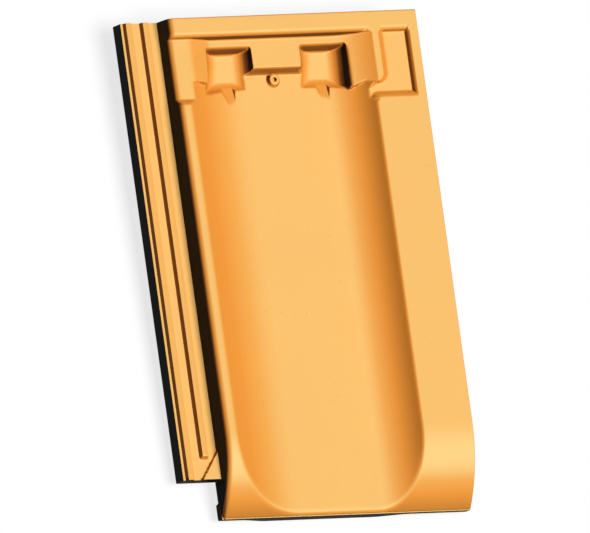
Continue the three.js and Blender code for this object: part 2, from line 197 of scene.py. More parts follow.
nib_centre = (trough_left + trough_right) / 2 + 0.006
nib_spacing = 0.1015
nib_centres = [nib_centre - nib_spacing / 2, nib_centre + nib_spacing / 2]
pocket_left = -0.0251
pocket_right = 0.0232
band_left = trough_left + 0.0095
band_left_slope = 0.287
band_right = trough_right + 0.004
band_right_run = 0.040
bank_left_end = 0.0595
bank_centre_end = 0.047
bank_right_end = 0.0682
bank_left_lean = 0.08
bank_right_lean = 0.36
bank_wall_slope = 2.15
bank_side_slope = 2.6
bank_arris = 0.0036
bank_arris_head = 0.0275
bank_cheek_slope = 2.7
bank_overhang = 0.012
bank_overhang_end = 0.0555
bank_overhang_run = 0.005
bank_arris_run = 0.006
band_edge_softness = 0.0012
bank_top_softness = 0.0015
water_rib_end = 0.065
NEARLY_ALL = 0.9999  # keeps a round edge's slope from growing without end where it turns upright

band_depth = size("Band depth", 0.012)
recess_depth = size("Recess depth", 0.005)


def arris(distance, radius):
    """How far a rounded edge falls away at a distance inside it; outside it keeps the whole drop."""
    depth = least(most(radius - distance, 0), radius * NEARLY_ALL)
    return radius - root(radius * radius - depth * depth)


def inside(distance, softness=0.0002):
    """One where the distance is above zero and zero below, with a short ramp."""
    return least(most(distance / softness, 0), 1)


band_left_fall = most((x - band_left) * band_left_slope, 0, band_edge_softness)
band_left_fall = least(band_left_fall, band_depth - recess_depth, band_edge_softness)
band_right_climb = climb(x - band_right + band_right_run, band_right_run, band_depth)
band = band_right_climb - recess_depth - band_left_fall
past_left_pocket = nib_centres[0] + pocket_left - x
past_right_pocket = x - nib_centres[1] - pocket_right
beside_left = inside(past_left_pocket)
left_bank_length = bank_left_end - bank_centre_end - past_left_pocket * bank_left_lean
bank_end = beside_left * left_bank_length + bank_centre_end
past_bank = most((from_head - bank_end) * bank_wall_slope, 0, band_edge_softness)
right_bank_end = bank_right_end - past_right_pocket * bank_right_lean
past_right_bank = most((from_head - right_bank_end) * bank_side_slope, 0, band_edge_softness)
over_pocket = inside(bank_overhang_end - from_head, bank_overhang_run)
before_right_cheek = least(past_right_pocket + over_pocket * bank_overhang, 0)
past_right_bank = past_right_bank - before_right_cheek * bank_cheek_slope
at_arris = inside(x - nib_centres[1]) * inside(from_head - bank_arris_head, bank_arris_run)
past_bank = least(past_bank, past_right_bank) + arris(past_right_pocket, bank_arris) * at_arris
banked = most(weather, band - past_bank, bank_top_softness)
past_band = most(most(from_head - water_rib_end, nib_centre - x), 0) * STEEP
banked = least(banked, band + past_band)


# ---------------------------------------------------------------- side recesses and rim
# Left of the band the crest is sunk a little, and right of it a shallow recess turns round the end of a
# water rib and drains into the trough. A level rim with a round edge closes the whole head.

crest_sink_end = 0.0833
crest_sink_run = 0.0076
recess_length = 0.0748
corner_radius = 0.009
corner_run = 0.008
corner_lip_run = 0.0110
corner_mouth = 0.0045
frame_width = 0.0078
frame_run = 0.0045
water_rib_width = 0.0067
water_rib_run = 0.0070
water_rib_wall_run = 0.0020
water_rib_radius = 0.008
water_rib_spread = 0.7
recess_lip_rise = 0.0024
recess_lip_start = 0.5
recess_wall_power = 2.5
recess_floor_softness = 0.0014
crest_sink_softness = 0.0010
recess_edge_softness = 0.0008
rim_width = 0.0137
rim_round_run = 0.0052
rim_round_drop = 0.0048
rim_foot = 0.0179
rim_foot_lean = 0.119
rim_fillet = 0.0023
rim_fillet_share = 0.9
NEVER_ZERO = 1e-9  # keeps a division from failing where both parts are zero


def round_topped(share):
    """A recess's wall, steep at its foot and level at its top. Share runs from zero at its foot to one."""
    lip = most(share - recess_lip_start, 0) * recess_lip_rise
    return lip - most(1 - share, 0) ** recess_wall_power * recess_depth


def turning_run(reach_x, reach_y, run_x, run_y):
    """The run of a wall that goes round a corner, from run_x where it faces along x to run_y along y."""
    square_x = reach_x * reach_x
    square_y = reach_y * reach_y
    run = (square_x * run_x + square_y * run_y) / (square_x + square_y + NEVER_ZERO)
    return most(run, min(run_x, run_y))


crest_wall = round_topped((from_head - crest_sink_end) / crest_sink_run + 1)
left_recess = most(crest_wall, -recess_depth, recess_floor_softness) + most(x - nib_centre, 0) * STEEP
recessed = least(banked, left_recess, crest_sink_softness)

turn_x = trough_right - corner_mouth + corner_radius
turn_y = recess_length + corner_radius
corner_x = most(turn_x - x, 0)
corner_y = most(turn_y - from_head, 0)
corner_distance = corner_radius - root(corner_x * corner_x + corner_y * corner_y)
corner_wall = round_topped(corner_distance / turning_run(corner_x, corner_y, corner_lip_run, corner_run))
rib_edge = band_right + water_rib_width
rib_x = most(x - rib_edge + water_rib_radius, 0)
rib_y = most(from_head - water_rib_end + water_rib_radius, 0)
rib_reach = root(rib_x * rib_x + rib_y * rib_y) - water_rib_radius
rib_run = turning_run(rib_x, rib_y, water_rib_run, water_rib_wall_run)
rib_run = rib_run + most(band_right - x, 0) * water_rib_spread
rib_fall = rib_reach / rib_run * recess_depth
frame_edge = tile_width - frame_width
frame_wall = round_topped((x - frame_edge) / frame_run + 1)
right_walls = most(frame_wall, most(-rib_fall, corner_wall, recess_edge_softness))
past_corner = most(from_head - recess_length - corner_run, 0)
right_recess = most(right_walls, -recess_depth, recess_floor_softness)
right_recess = right_recess + most(nib_centre - x, 0) * STEEP + past_corner
recessed = least(recessed, right_recess, recess_edge_softness)

rim_drop = climb(from_head - rim_width, rim_round_run, rim_round_drop)
rim_wall_foot = rim_foot - recessed * rim_foot_lean
fillet = climb(rim_wall_foot + rim_fillet - from_head, rim_fillet, rim_fillet * rim_fillet_share)
rimmed = least(most(recessed + least(fillet, rim_fillet), -rim_drop), 0)


# ---------------------------------------------------------------- pockets and drain tails
# Above each nib the upper mould presses a deep pocket with rounded cheeks, so that the clay is equally
# thick all over. A short tail leads the rain water out of it onto the trough floor.

pocket_head = 0.0268
pocket_floor_head = 0.0341
pocket_floor_foot = 0.0565
pocket_floor_left = -0.0055
pocket_floor_right = 0.0076
pocket_floor_slope = 0.045
left_cheek_run = 0.0190
left_cheek_rise = 0.0120
right_cheek_run = 0.0162
right_cheek_rise = 0.0138
pocket_head_run = 0.0030
pocket_head_rise = 0.0022
pocket_foot_run = 0.0085
pocket_foot_rise = 0.0045
pocket_corner_radius = 0.003
pocket_corner_slope = 8
pocket_flare_head = 0.043
pocket_flare = 0.21
pocket_edge_softness = 0.0084
pocket_lip_softness = 0.0012
pocket_band_run = 0.004
right_cheek_at = 0.012
right_cheek_fade = 0.006
tail_length = 0.0175
tail_left = -0.0065
tail_right = 0.006
tail_taper = 0.004
tail_left_slope = 0.9
tail_right_slope = 2.0
tail_edge_softness = 0.0008

pocket_depth = size("Pocket depth", 0.0270)


def pocket(centre):
    flare = most(from_head - pocket_flare_head, 0) * pocket_flare
    left_side = centre - flare - x
    cheek = climb(left_side + pocket_floor_left, left_cheek_run, left_cheek_rise)
    cheek = cheek + climb(x - centre - pocket_floor_right, right_cheek_run, right_cheek_rise)
    end = climb(pocket_floor_head - from_head, pocket_head_run, pocket_head_rise)
    end = end + climb(from_head - pocket_floor_foot, pocket_foot_run, pocket_foot_rise)
    rise = most(pocket_floor_foot - from_head, 0) * pocket_floor_slope
    beyond_x = most(x - centre - pocket_right, left_side + pocket_left) + pocket_corner_radius
    beyond_y = pocket_head + pocket_corner_radius - from_head
    corner = root(most(beyond_x, 0) ** 2 + most(beyond_y, 0) ** 2) - pocket_corner_radius
    hollowed = root(root(cheek ** 4 + end ** 4)) + rise - pocket_depth
    return most(hollowed, corner * pocket_corner_slope - band_depth)


def drain_tail(centre):
    past_floor = from_head - pocket_floor_foot
    rise = most(past_floor, 0) * (pocket_depth - trough_depth) / tail_length
    left_edge = past_floor * (tail_taper / tail_length) + centre + tail_left
    left_wall = most(left_edge - x, 0) * tail_left_slope
    right_wall = most(x - centre - tail_right, 0) * tail_right_slope
    return rise + left_wall + right_wall - pocket_depth + most(-past_floor, 0) * STEEP


pocketed = rimmed
beside_right_cheek = inside(x - nib_centres[1] - right_cheek_at, right_cheek_fade) * over_pocket
on_band = inside(bank_centre_end + pocket_band_run - from_head, pocket_band_run)
pocket_softness = most(on_band, beside_right_cheek) * pocket_edge_softness + pocket_lip_softness
for centre in nib_centres:
    pocketed = least(pocketed, pocket(centre), pocket_softness)
    pocketed = least(pocketed, drain_tail(centre), tail_edge_softness)


# ---------------------------------------------------------------- body wall and edges
# The body stands above the side lap as a drafted wall with a rounded top. A narrow shelf runs along the
# foot of the upper mould, where its two halves part.

wall_draft = 0.0017
wall_arris = 0.0056
cover_arris = 0.0008
head_arris = 0.0011
parting_ledge = 0.0009

body_height = nose_drop + parting_ledge
wall_run = pocketed / body_height * wall_draft
past_wall = x - lap_width - wall_run
standing = pocketed - arris(past_wall, wall_arris) + least(past_wall, 0) * (body_height / wall_draft)
standing = standing - arris(tile_width - x, cover_arris) - arris(from_head, head_arris)
shelf = most(y - parting_ledge, 0) * STEEP - nose_drop
body_foot = -body_height - most(x - trough_left, 0)
standing = most(least(standing, shelf), body_foot)


# ---------------------------------------------------------------- side lap
# The lap carries two saw-toothed ribs with a drain groove behind each, which the cover of the tile beside
# it grips over. The inner groove ends at a raised corner that turns its water off the body wall.

lap_cut_back = 0.0365
outer_rib_at = 0.0024
inner_rib_at = 0.0208
inner_rib_end = 0.056
inner_rib_end_slope = 2.0
rib_height = 0.0043
rib_flank_run = 0.0016
rib_crest = 0.0060
rib_crest_slope = 0.14
rib_back_run = 0.0020
ledge_slope = 4
deflector_width = 0.0195
deflector_length = 0.0255
deflector_slope = 4
rib_top_softness = 0.0008
rib_foot_softness = 0.0006
ledge_softness = 0.0004
wall_foot_softness = 0.0012

groove_depth = size("Groove depth", 0.0204)
ledge_depth = size("Ledge depth", 0.0194)
deflector_height = size("Deflector height", 0.0027)


def saw_tooth(at):
    crest_end = at + rib_flank_run + rib_crest
    flank = (x - at) * (rib_height / rib_flank_run)
    crest = rib_height - most(x - at - rib_flank_run, 0) * rib_crest_slope
    back = (crest_end + rib_back_run - x) * (rib_height / rib_back_run)
    return least(least(flank, back), crest, rib_top_softness)


outer_rib = most(saw_tooth(outer_rib_at), 0, rib_foot_softness)
below_crest_x = most(rib_height - (x - inner_rib_at) * (rib_height / rib_flank_run), 0)
below_crest_y = most(rib_height - most(y - inner_rib_end, 0) * inner_rib_end_slope, 0)
round_end = rib_height - root(below_crest_x * below_crest_x + below_crest_y * below_crest_y)
inner_rib = least(saw_tooth(inner_rib_at), round_end, rib_foot_softness)
inner_rib = most(inner_rib, 0, rib_foot_softness)
wall_foot = lap_width - wall_draft
diagonal = math.hypot(deflector_width, deflector_length)
past_diagonal = (
    (x - wall_foot + deflector_width) * (deflector_length / diagonal)
    - (y - lap_cut_back) * (deflector_width / diagonal)
)
deflector = most(past_diagonal * deflector_slope, 0, rib_foot_softness)
deflector = least(deflector, deflector_height, rib_foot_softness)
ledge = groove_depth - ledge_depth - most(x - outer_rib_at, 0) * ledge_slope
lap = most(most(outer_rib + inner_rib, deflector), ledge, ledge_softness) - groove_depth
lap = lap - most(most(lap_cut_back - y, x - lap_width), 0) * STEEP
weather_side = most(standing, lap, wall_foot_softness)


# ---------------------------------------------------------------- underside
# The lower mould keeps the clay equally thick under the trough and hollows the cover out over the
# neighbour's lap. A rib across the foot rests on the tile below.

floor_thickness = 0.012
band_below = 0.029
hollow_foot = 0.0345
hollow_roof = 0.0144
cover_rib_height = 0.0046
cover_rib_centre = 0.28365
cover_rib_half = 0.0025
cover_rib_draft = 0.0015
cover_skirt = 0.0065
foot_rib_drop = 0.0415
foot_rib_width = 0.018
foot_rib_draft = 0.0035
foot_rib_left = trough_left + 0.039
foot_rib_right = tile_width - 0.092
foot_rib_rise = 0.025
foot_rib_back_slope = 3.6
lap_draft = 0.0003
lap_inner_foot = lap_width - 0.001
lap_root = lap_width + 0.006
lap_root_slope = 0.6
cover_side = tile_width - 0.0003
back_hollow_half = nib_spacing / 2 - 0.024
back_hollow_foot = 0.047
back_hollow_head = 0.009
back_hollow_draft = 0.004
back_hollow_slope = 2.2
back_hollow_corner_softness = 0.005
back_hollow_end_softness = 0.003
back_hollow_rim_softness = 0.002
under_arris = 0.0012
belly_softness = 0.002
hollow_softness = 0.0015
under_softness = 0.001
lap_under_softness = 0.0006

foot_rib_depth = size("Foot rib depth", foot_rib_drop)
foot_rib_sides = size("Foot rib depth at its ends", 0.033)
lap_underside = size("Lap underside", 0.034)
back_hollow_depth = size("Back hollow depth", 0.026)


def under_climb(distance, run):
    """How far the underside of a flank stands above the underside of the trough floor."""
    radius = (trough_depth * trough_depth + run * run) / (trough_depth * 2)
    reach = least(most(distance, 0), run)
    upright = root(radius * radius - reach * reach)
    beyond = most(distance - run, 0) * run / (radius - trough_depth)
    return radius - upright + beyond - (radius / upright - 1) * floor_thickness


belly_depth = trough_depth + floor_thickness
under_left = under_climb(floor_left - x, left_flank_run) - belly_depth
under_right = under_climb(x - floor_right, right_flank_run) - belly_depth
belly = least(most(under_left, under_right), -band_below, belly_softness)

beside_rib = abs(x - cover_rib_centre)
cover_ribs = inside(cover_rib_half + cover_rib_draft - beside_rib, cover_rib_draft)
cover_ribs = cover_ribs + inside(x - tile_width + cover_skirt + cover_rib_draft, cover_rib_draft)
hollow = least(under_right, cover_ribs * -cover_rib_height - hollow_roof, hollow_softness)
under = most(belly, hollow - most(hollow_foot - y, 0) * STEEP, under_softness)

rib_end_rise = foot_rib_depth - foot_rib_sides
rib_ends = most(foot_rib_left - x, x - foot_rib_right) * rib_end_rise / foot_rib_rise
rib_ends = least(most(rib_ends, 0, under_softness), rib_end_rise)
rib_back = most(y - foot_rib_width + foot_rib_draft, 0) * foot_rib_back_slope
under = least(under, rib_ends + rib_back - foot_rib_depth, under_softness)

lap_under = most(x - lap_inner_foot, 0) * lap_root_slope - lap_underside
under = least(under, lap_under + most(lap_cut_back - y, 0) * STEEP, lap_under_softness)

past_hollow_side = abs(x - nib_centre) - back_hollow_half + back_hollow_draft
past_hollow_end = most(
    from_head - back_hollow_foot, back_hollow_head - from_head, back_hollow_end_softness
) + back_hollow_draft
hollow_reach = most(past_hollow_side, past_hollow_end, back_hollow_corner_softness)
back_hollow = most(hollow_reach, 0, back_hollow_rim_softness) * -back_hollow_slope - back_hollow_depth
under = most(under, back_hollow, under_softness)

from_side = least(least(x - lap_draft, cover_side - x), least(y, from_head))
lower_side = under + arris(from_side, under_arris)


# ---------------------------------------------------------------- fired clay
# Red-burning clay with a coat of light engobe, sprayed on the weather side from above and a little from
# the foot. Its colour follows the angle to that direction, partly as a thinner engobe on slopes and partly
# as painted light and shade: a painted highlight where a face meets the direction squarely, and painted
# shade that deepens on slopes and on the nose at the foot edge. Walls that face the lap, faces near the
# foot edge, cheeks of the pockets and the foot corner get painted shade down to black; other upright
# walls get a painted dark-brown shade, and those that face the cover side or the head a painted lit
# orange.

# This direction stands for the spray and for the painted light: faces are painted lighter where they meet
# it squarely and darker as they turn away.
spray_and_painted_light_direction = Vector((-0.055, -0.24, 0.969)).normalized()
body_colour = (0.40, 0.135, 0.050, 1)
speck_colour = (0.30, 0.10, 0.04, 1)
painted_foot_shade_length = 0.040
painted_foot_shade_slant = 0.27
foot_facing_turn = -6
painted_foot_shade_start = 1.3
cloud_slant = 0.02
foot_side_end = 0.0385
painted_pocket_shade_reach = 0.078
painted_pocket_shade_start = 0.0115
painted_pocket_shade_slant = 0.12
painted_pocket_shade_facing = 0.4
painted_pocket_shade_turn = 3
painted_black_turn = 2
painted_light_turn = 4
foot_painted_light_turn = 3
side_painted_light_turn = 1.5
foot_corner_inset = 0.001
foot_corner_gap = 0.0006
SOFT_LIMIT = 500  # one over the width, in metres, of the fade at a limit
LIMIT = 1000
SHARP_LIMIT = 2000
slant_limit = 0.70
painted_light_slant_limit = 0.34
lap_edge = 0.0018
lap_slant_limit = 0.645
coat_reach = 0.7
coat_edge = 4
cloud_scale = 9
cloud_shade = 0.08
grain_scale = 900
grain_harshness = 0.6
grain_shade = 0.06
fine_grain_scale = 2600
speck_scale = 420
speck_rarity = 0.735
speck_edge = 22
speck_strength = 0.16
coat_roughness = 0.56
grain_roughness = 0.18
bare_roughness = 0.2
clay_sheen = 0.15
grain_relief = 0.6
fine_grain_relief = 0.25
ripple_scale = 160
ripple_relief = 0.8
bump_strength = 0.35
bump_height = 0.00012
# Coat colours by slant from that direction: a painted highlight at nought, the engobe on flats, then
# painted shade from orange through brown to black on steep walls.
engobe_painted_highlight = (1.00, 0.68, 0.25, 1)
engobe = (0.94, 0.53, 0.15, 1)
thin_engobe_and_painted_shade = (0.92, 0.41, 0.08, 1)
bare_clay_and_painted_shade = (0.90, 0.33, 0.045, 1)
painted_shade_clay = (0.56, 0.21, 0.025, 1)
painted_deep_shade_clay = (0.30, 0.11, 0.015, 1)
painted_wall_shade_clay = (0.15, 0.04, 0.01, 1)
painted_black_shade = (0.006, 0.005, 0.005, 1)
coat_and_painted_light_stops = [
    (0.00, engobe_painted_highlight),
    (0.14, engobe),
    (0.22, thin_engobe_and_painted_shade),
    (painted_light_slant_limit, bare_clay_and_painted_shade),
    (0.55, painted_shade_clay),
    (0.60, painted_deep_shade_clay),
    (slant_limit, painted_wall_shade_clay),
    (0.84, painted_black_shade),
]

fired_clay = bpy.data.materials.new("fired_clay")
fired_clay.use_nodes = True
clay_tree = fired_clay.node_tree
clay_shader = clay_tree.nodes["Principled BSDF"]
coordinates = clay_tree.nodes.new("ShaderNodeTexCoord")
place = Wire(clay_tree, coordinates.outputs["Object"])
facing = Wire(clay_tree, clay_tree.nodes.new("ShaderNodeNewGeometry").outputs["Normal"])


def noise(scale, detail=2, roughness=0.5):
    sockets = {"Vector": place, "Scale": scale, "Detail": detail, "Roughness": roughness}
    return place.wire("ShaderNodeTexNoise", {}, sockets)


def mixed(factor, first, second):
    sockets = {0: factor, 6: first, 7: second}
    return place.wire("ShaderNodeMix", {"data_type": "RGBA"}, sockets, output=2)


def clamped(value):
    return least(most(value, 0), 1)


facing_parts = facing.node("ShaderNodeSeparateXYZ", {}, {0: facing})
facing_x = Wire(clay_tree, facing_parts.outputs[0])
facing_y = Wire(clay_tree, facing_parts.outputs[1])
upward = Wire(clay_tree, facing_parts.outputs[2])
place_parts = place.node("ShaderNodeSeparateXYZ", {}, {0: place})
across = Wire(clay_tree, place_parts.outputs[0]) + tile_width / 2
from_foot = Wire(clay_tree, place_parts.outputs[1]) + tile_length / 2
cloud = noise(cloud_scale, 3) - 0.5
grain = noise(grain_scale, 3, grain_harshness)
fine_grain = noise(fine_grain_scale, 2)

# How squarely each face meets the spray and painted light direction; its slant picks painted light and
# shade from the coat stops.
painted_light_squareness = place.wire(
    "ShaderNodeVectorMath", {"operation": "DOT_PRODUCT"}, {0: facing, 1: spray_and_painted_light_direction}, output=1
)
# Painted shade on the nose: faces turned to the foot near the foot edge are painted darker.
painted_foot_shade = clamped(1 - from_foot / painted_foot_shade_length)
painted_foot_shade = painted_foot_shade * clamped(facing_y * foot_facing_turn - painted_foot_shade_start)
# Painted shade in the pockets: cheeks that face the lap side are painted darker, where shade falls in the
# hollow.
in_pocket = clamped((painted_pocket_shade_reach - abs(across - nib_centre)) * SOFT_LIMIT)
in_pocket = in_pocket * clamped((from_foot - tile_length + bank_right_end) * SOFT_LIMIT)
from_pocket_middle = abs(abs(across - nib_centre) - nib_spacing / 2)
beside_tail = clamped((from_pocket_middle - painted_pocket_shade_start) * SOFT_LIMIT)
painted_shade_cheek = clamped((facing_x * -1 - painted_pocket_shade_facing) * painted_pocket_shade_turn)
painted_pocket_shade = in_pocket * beside_tail * painted_shade_cheek * painted_pocket_shade_slant
slant = painted_light_squareness.math("ARCCOSINE", painted_light_squareness) / (math.pi / 2)
slant = slant + painted_foot_shade * painted_foot_shade_slant + cloud * cloud_slant + painted_pocket_shade
# Painted shade: walls that face the lap side, and steep faces near the foot edge, may go down to painted
# black.
lap_side_painted_black = clamped(facing_x * -painted_black_turn - most(facing_y, 0) * painted_black_turn)
at_foot = clamped((foot_side_end - from_foot) * LIMIT)
painted_black_mask = most(lap_side_painted_black, at_foot)
# Painted light: walls that face the cover side or the head are held at a lit orange instead of the painted
# dark-brown shade of other upright walls.
painted_light_mask = clamped(most(facing_x * painted_light_turn, facing_x * side_painted_light_turn + facing_y * foot_painted_light_turn))
painted_light_mask = painted_light_mask * (1 - in_pocket * clamped(facing_y * foot_facing_turn))
painted_light_drop = painted_light_mask * (slant_limit - painted_light_slant_limit)
slant = least(slant, painted_black_mask * (1 - slant_limit) - painted_light_drop + slant_limit)
# On the lap, away from the foot edge, the painted shade stops at a dark brown short of black.
on_lap = clamped((across - lap_edge) * SHARP_LIMIT)
on_lap = on_lap * clamped((wall_foot - lap_edge - across) * SHARP_LIMIT)
slant = least(slant, 1 - on_lap * (1 - at_foot) * (1 - lap_slant_limit))
# Painted shade: faces in the corner where the lap is cut back at the foot are painted black.
painted_foot_corner_black = clamped((lap_cut_back - foot_corner_inset - from_foot) * LIMIT)
painted_foot_corner_black = painted_foot_corner_black * clamped((lap_width - foot_corner_gap - across) * SHARP_LIMIT)
slant = most(slant, painted_foot_corner_black)
coat_and_painted_light_colour = place.wire("ShaderNodeValToRGB", {"stops": coat_and_painted_light_stops}, {0: slant})
coated = clamped((upward + coat_reach) * coat_edge)
specks = clamped((noise(speck_scale, 1) - speck_rarity) * speck_edge)
mottling = cloud * cloud_shade + (grain - 0.5) * grain_shade

surface_colour = mixed(coated, body_colour, coat_and_painted_light_colour)
surface_colour = mixed(specks * speck_strength, surface_colour, speck_colour)
shade = most(mottling + 1, 0)
shaded = place.wire(
    "ShaderNodeVectorMath", {"operation": "SCALE"}, {0: surface_colour, "Scale": shade}
)
clay_tree.links.new(shaded.socket, clay_shader.inputs["Base Color"])

clay_roughness = coat_roughness + (grain - 0.5) * grain_roughness + (1 - coated) * bare_roughness
clay_tree.links.new(clay_roughness.socket, clay_shader.inputs["Roughness"])
clay_shader.inputs["Specular IOR Level"].default_value = clay_sheen

relief = grain * grain_relief + fine_grain * fine_grain_relief + noise(ripple_scale, 2) * ripple_relief
bump_sockets = {"Height": relief, "Strength": bump_strength, "Distance": bump_height}
clay_bump = place.wire("ShaderNodeBump", {}, bump_sockets)
clay_tree.links.new(clay_bump.socket, clay_shader.inputs["Normal"])


# ---------------------------------------------------------------- slab and pressing
# The slab is ruled with lines that lie closer together where the moulds have ribs, walls and arrises, and
# its edges are closed between the upper and the lower face. Pressing it gives the tile.

slab_thickness = 0.03
SAME_PLACE = 1e-7
WHOLE_STEP = 1e-6  # a stretch that is longer by no more than this share gets no extra step


def ruled(start, *stretches):
    """Places from start on: each stretch gives the place where it ends and the widest step in it."""
    places = [start]
    for end, step in stretches:
        count = max(1, math.ceil((end - start) / step - WHOLE_STEP))
        places += [start + (end - start) * i / count for i in range(1, count + 1)]
        start = end
    return places


def rib_lines(at):
    """Stretches that rule one rib of the lap: its flank, its crest and its back."""
    crest_end = at + rib_flank_run + rib_crest
    return [
        (at + rib_flank_run + 0.0006, 0.0003),
        (crest_end - 0.0004, 0.0016),
        (crest_end + rib_back_run + 0.0006, 0.0004),
    ]


def pocket_lines(centre):
    """Stretches that rule one pocket: its round edges, its cheeks and the walls of its tail."""
    return [
        (centre + pocket_left - 0.0060, 0.0014),
        (centre + pocket_left + 0.0030, 0.0006),
        (centre + pocket_floor_left, 0.0011),
        (centre + tail_right - 0.0006, 0.0016),
        (centre + tail_right + 0.0022, 0.0005),
        (centre + pocket_right - 0.0028, 0.0010),
        (centre + pocket_right, 0.0004),
        (centre + pocket_right + 0.0002, 0.0002),
        (centre + pocket_right + bank_arris, 0.0003),
    ]


upper_x = ruled(
    0,
    (outer_rib_at - 0.0004, 0.0007),
    *rib_lines(outer_rib_at),
    (inner_rib_at - 0.0006, 0.0020),
    *rib_lines(inner_rib_at),
    (wall_foot, 0.0010),
    (lap_width, 0.0004),
    (lap_width + 0.0006, 0.00012),
    (lap_width + wall_arris + 0.0003, 0.0004),
    (trough_left - 0.003, 0.0020),
    (trough_left + 0.004, 0.0009),
    *pocket_lines(nib_centres[0]),
    (nib_centres[1] + pocket_left - 0.0064, 0.0030),
    *pocket_lines(nib_centres[1]),
    (trough_right - 0.004, 0.0013),
    (band_right, 0.0009),
    (rib_edge + water_rib_run + 0.001, 0.0010),
    (frame_edge - frame_run - 0.0006, 0.0030),
    (frame_edge - frame_run + 0.0012, 0.0003),
    (frame_edge + 0.0016, 0.0005),
    (tile_width - cover_arris - 0.0002, 0.0030),
    (tile_width, 0.00017),
)
upper_y = ruled(
    0,
    (parting_ledge, 0.0007),
    (parting_ledge + 0.0003, 0.00015),
    (lap_cut_back - 0.0001, 0.0012),
    (lap_cut_back, 0.0001),
    (lap_cut_back + deflector_length + 0.009, 0.0012),
    (nose_run + 0.008, 0.0020),
    (tile_length - turn_y - 0.002, 0.018),
    (tile_length - crest_sink_end - 0.001, 0.0014),
    (tile_length - recess_length + 0.0012, 0.0007),
    (tile_length - bank_centre_end + 0.0012, 0.0008),
    (tile_length - pocket_floor_head - 0.0008, 0.0020),
    (tile_length - pocket_floor_head + pocket_head_run + 0.0004, 0.0007),
    (tile_length - pocket_head + 0.0024, 0.0005),
    (tile_length - rim_foot - rim_fillet - 0.0016, 0.0013),
    (tile_length - rim_foot - 0.0004, 0.0003),
    (tile_length - rim_width + 0.0004, 0.0005),
    (tile_length - head_arris - 0.0004, 0.0035),
    (tile_length, 0.0003),
)
lower_x = ruled(
    lap_draft,
    (lap_draft + under_arris + 0.0002, 0.0003),
    (lap_inner_foot, 0.012),
    (lap_root + 0.001, 0.0015),
    (trough_left + 0.060, 0.0050),
    (nib_centre - back_hollow_half - 0.001, 0.0060),
    (nib_centre - back_hollow_half + back_hollow_draft + 0.004, 0.0010),
    (nib_centre + back_hollow_half - back_hollow_draft - 0.004, 0.0080),
    (nib_centre + back_hollow_half + 0.001, 0.0010),
    (floor_right + 0.014, 0.0060),
    (trough_right + 0.006, 0.0014),
    (cover_rib_centre - 0.0045, 0.0045),
    (cover_rib_centre + 0.0045, 0.0005),
    (tile_width - cover_skirt - cover_rib_draft - 0.0004, 0.0040),
    (tile_width - cover_skirt + 0.0004, 0.0005),
    (cover_side - under_arris - 0.0002, 0.0020),
    (cover_side, 0.0003),
)
lower_y = ruled(
    0,
    (under_arris + 0.0002, 0.0003),
    (foot_rib_width - foot_rib_draft - 0.0004, 0.0040),
    (foot_rib_width + 0.0008, 0.0005),
    (hollow_foot - 0.0006, 0.0050),
    (hollow_foot + 0.0003, 0.0003),
    (lap_cut_back, 0.0012),
    (tile_length - back_hollow_foot - 0.001, 0.030),
    (tile_length - back_hollow_foot + back_hollow_draft + 0.003, 0.0010),
    (tile_length - back_hollow_head - back_hollow_draft - 0.003, 0.0060),
    (tile_length - back_hollow_head + 0.001, 0.0010),
    (tile_length - under_arris - 0.0002, 0.0030),
    (tile_length, 0.0003),
)


def slab_face(mesh, places_x, places_y, height, lap_side):
    """One face of the slab, without the corner where the lap is cut back. Returns its points by place."""
    points = {}
    for i, across in enumerate(places_x):
        for j, up in enumerate(places_y):
            if across >= lap_side - SAME_PLACE or up >= lap_cut_back - SAME_PLACE:
                points[i, j] = mesh.verts.new((across, up, height))
    for i, j in points:
        corners = [(i, j), (i + 1, j), (i + 1, j + 1), (i, j + 1)]
        if all(corner in points for corner in corners):
            ring = [points[corner] for corner in corners]
            mesh.faces.new(ring if height == 0 else ring[::-1])
    return points


def face_side(points, fixed, place, first, last):
    """The points of a face along one straight side; `fixed` tells which index stays at `place`."""
    chosen = [key for key in points if key[fixed] == place and first <= key[1 - fixed] <= last]
    return [points[key] for key in sorted(chosen, key=lambda key: key[1 - fixed])]


def close_side(mesh, upper, lower, along):
    """Triangles between two rows of points that run the same way, one above the other."""
    i = j = 0
    while i + 1 < len(upper) or j + 1 < len(lower):
        at_upper_end = i + 1 == len(upper)
        at_lower_end = j + 1 == len(lower)
        step_up = at_lower_end or (
            not at_upper_end and upper[i + 1].co[along] <= lower[j + 1].co[along]
        )
        if step_up:
            mesh.faces.new((upper[i], lower[j], upper[i + 1]))
            i += 1
        else:
            mesh.faces.new((upper[i], lower[j], lower[j + 1]))
            j += 1


def outline_sides(points, places_x, places_y, lap_side):
    """The six sides of a face, each as a row of points running along x or y."""
    corner = min(range(len(places_x)), key=lambda i: abs(places_x[i] - lap_side))
    cut = min(range(len(places_y)), key=lambda j: abs(places_y[j] - lap_cut_back))
    right = len(places_x) - 1
    head = len(places_y) - 1
    return [
        face_side(points, 1, 0, corner, right),
        face_side(points, 0, right, 0, head),
        face_side(points, 1, head, 0, right),
        face_side(points, 0, 0, cut, head),
        face_side(points, 1, cut, 0, corner),
        face_side(points, 0, corner, 0, cut),
    ]


slab = bmesh.new()
upper_points = slab_face(slab, upper_x, upper_y, 0, wall_foot)
lower_points = slab_face(slab, lower_x, lower_y, -slab_thickness, lap_inner_foot)
upper_sides = outline_sides(upper_points, upper_x, upper_y, wall_foot)
lower_sides = outline_sides(lower_points, lower_x, lower_y, lap_inner_foot)
for number, (upper, lower) in enumerate(zip(upper_sides, lower_sides)):
    close_side(slab, upper, lower, along=number % 2)
bmesh.ops.recalc_face_normals(slab, faces=slab.faces)
slab_mesh = bpy.data.meshes.new("clay_tile")
slab.to_mesh(slab_mesh)
slab.free()

